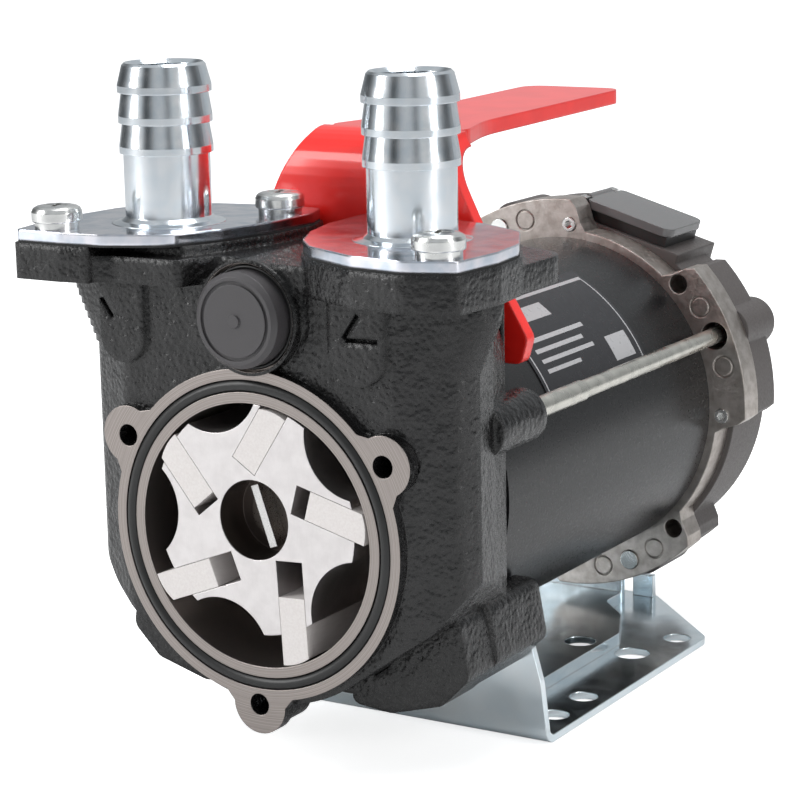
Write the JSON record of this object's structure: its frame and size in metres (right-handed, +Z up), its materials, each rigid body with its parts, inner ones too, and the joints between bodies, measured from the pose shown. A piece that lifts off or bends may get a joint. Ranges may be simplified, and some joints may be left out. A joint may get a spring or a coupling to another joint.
{
  "type": "fuel transfer pump",
  "caption": "Portable motor driven vane pump for fuel with its front cover off: hose tails on top, carrying handle, round motor with covered switch, and sheet base.",
  "frame": {"origin": "middle of the base's four corner holes, on the underside of the base", "axes": "+Z up, +Y back along the motor from the pump front, +X to the right of the pump front"},
  "size_m": [0.1179, 0.2037, 0.159],
  "materials": {
    "black_cast": "rough black painted casting",
    "black_rubber": "soft black rubber",
    "gasket_paper": "black gasket sheet",
    "rotor_steel": "ground sintered steel",
    "vane_plastic": "ivory acetal",
    "shaft_steel": "turned steel",
    "bearing_steel": "polished bearing steel",
    "plug_plastic": "dark grey moulded plastic",
    "spring_steel": "spring wire",
    "zinc_plate": "bright zinc plated steel",
    "zinc_screws": "zinc plated screws",
    "red_dip": "glossy red dipped steel",
    "barrel_paint": "satin black paint",
    "label_film": "bare dark label film",
    "magnet_ferrite": "ferrite",
    "core_laminations": "stacked laminations",
    "copper": "copper",
    "brush_board": "laminate board",
    "brass_holder": "pressed brass",
    "carbon": "carbon",
    "cast_aluminium": "machined cast aluminium",
    "rod_zinc": "yellow zinc plated steel",
    "cover_plastic": "dark grey moulded plastic",
    "switch_plastic": "black plastic",
    "flap_clear": "smoky clear plastic",
    "bracket_zinc": "zinc plated sheet steel"
  },
  "bodies": {
    "housing": {"pump_body": "black_cast", "front_seal_ring": "black_rubber", "shaft_seal": "black_rubber", "front_bearing_outer": "bearing_steel", "front_bearing_balls": "bearing_steel", "rear_bearing_outer": "bearing_steel", "rear_bearing_balls": "bearing_steel", "bypass_plug": "plug_plastic", "bypass_plug_seal": "black_rubber", "bypass_spring": "spring_steel", "body_gasket": "gasket_paper", "motor_adapter": "black_cast", "outlet_gasket": "gasket_paper", "inlet_gasket": "gasket_paper", "outlet_flange_plate": "zinc_plate", "inlet_flange_plate": "zinc_plate", "outlet_hose_tail": "zinc_plate", "inlet_hose_tail": "zinc_plate", "port_screws": "zinc_screws", "port_spring_washers": "zinc_screws", "carry_handle": "red_dip", "handle_screws": "zinc_screws", "motor_casing": "barrel_paint", "motor_label": "label_film", "field_magnets": "magnet_ferrite", "brush_plate": "brush_board", "brush_holders": "brass_holder", "brushes": "carbon", "brush_springs": "spring_steel", "rear_flange": "cast_aluminium", "flange_screws": "zinc_screws", "tie_rods": "rod_zinc", "tie_rod_nuts": "rod_zinc", "rear_cover": "cover_plastic", "cover_screws": "zinc_screws", "switch_body": "switch_plastic", "switch_gasket": "black_rubber", "flap_pin": "shaft_steel", "cable_gland": "cover_plastic", "base_bracket": "bracket_zinc", "bracket_bolts": "zinc_screws", "bracket_rear_screw": "zinc_screws"},
    "drive": {"rotor": "rotor_steel", "drive_blade": "shaft_steel", "drive_shaft": "shaft_steel", "front_bearing_inner": "bearing_steel", "rear_bearing_inner": "bearing_steel", "armature_core": "core_laminations", "armature_windings": "copper", "commutator": "copper"},
    "bypass": {"bypass_poppet": "shaft_steel"},
    "rocker": {"switch_rocker": "switch_plastic"},
    "flap": {"switch_flap": "flap_clear"},
    "vane1": {"vane_1": "vane_plastic"},
    "vane2": {"vane_2": "vane_plastic"},
    "vane3": {"vane_3": "vane_plastic"},
    "vane4": {"vane_4": "vane_plastic"},
    "vane5": {"vane_5": "vane_plastic"}
  },
  "joints": [
    {"name": "rotor_spin", "type": "hinge", "parent": "housing", "child": "drive", "pos_m": [0, -0.1, 0.0607], "axis": [0, -1, 0], "range_deg": [0, 72]},
    {"name": "vane_1_slide", "type": "slide", "parent": "drive", "child": "vane1", "axis": [0.0523, 0, -0.9986], "range_m": [-0.00458, 0]},
    {"name": "vane_2_slide", "type": "slide", "parent": "drive", "child": "vane2", "axis": [0.9659, 0, -0.2588], "range_m": [-0.0036, 0]},
    {"name": "vane_3_slide", "type": "slide", "parent": "drive", "child": "vane3", "axis": [0.5446, 0, 0.8387], "range_m": [0, 0.00189]},
    {"name": "vane_4_slide", "type": "slide", "parent": "drive", "child": "vane4", "axis": [-0.6293, 0, 0.7771], "range_m": [0, 0.00464]},
    {"name": "vane_5_slide", "type": "slide", "parent": "drive", "child": "vane5", "axis": [-0.9336, 0, -0.3584], "range_m": [0, 0.00164]},
    {"name": "bypass_lift", "type": "slide", "parent": "housing", "child": "bypass", "axis": [0, -1, 0], "range_m": [0, 0.003], "stiffness_N_per_m": 400, "deforming": ["bypass_spring"]},
    {"name": "rocker_tip", "type": "hinge", "parent": "housing", "child": "rocker", "pos_m": [0.01081, 0.066, 0.09838], "axis": [0, 1, 0], "range_deg": [0, 24]},
    {"name": "flap_swing", "type": "hinge", "parent": "housing", "child": "flap", "pos_m": [0.0007, 0.066, 0.11158], "axis": [0, -1, 0], "range_deg": [0, 110]}
  ],
  "couplings": [
    {"joint": "vane_1_slide", "follows": "rotor_spin", "m_per_rad": -0.0036437},
    {"joint": "vane_2_slide", "follows": "rotor_spin", "m_per_rad": -0.0028601},
    {"joint": "vane_3_slide", "follows": "rotor_spin", "m_per_rad": 0.001504},
    {"joint": "vane_4_slide", "follows": "rotor_spin", "m_per_rad": 0.003695},
    {"joint": "vane_5_slide", "follows": "rotor_spin", "m_per_rad": 0.0013048}
  ]
}
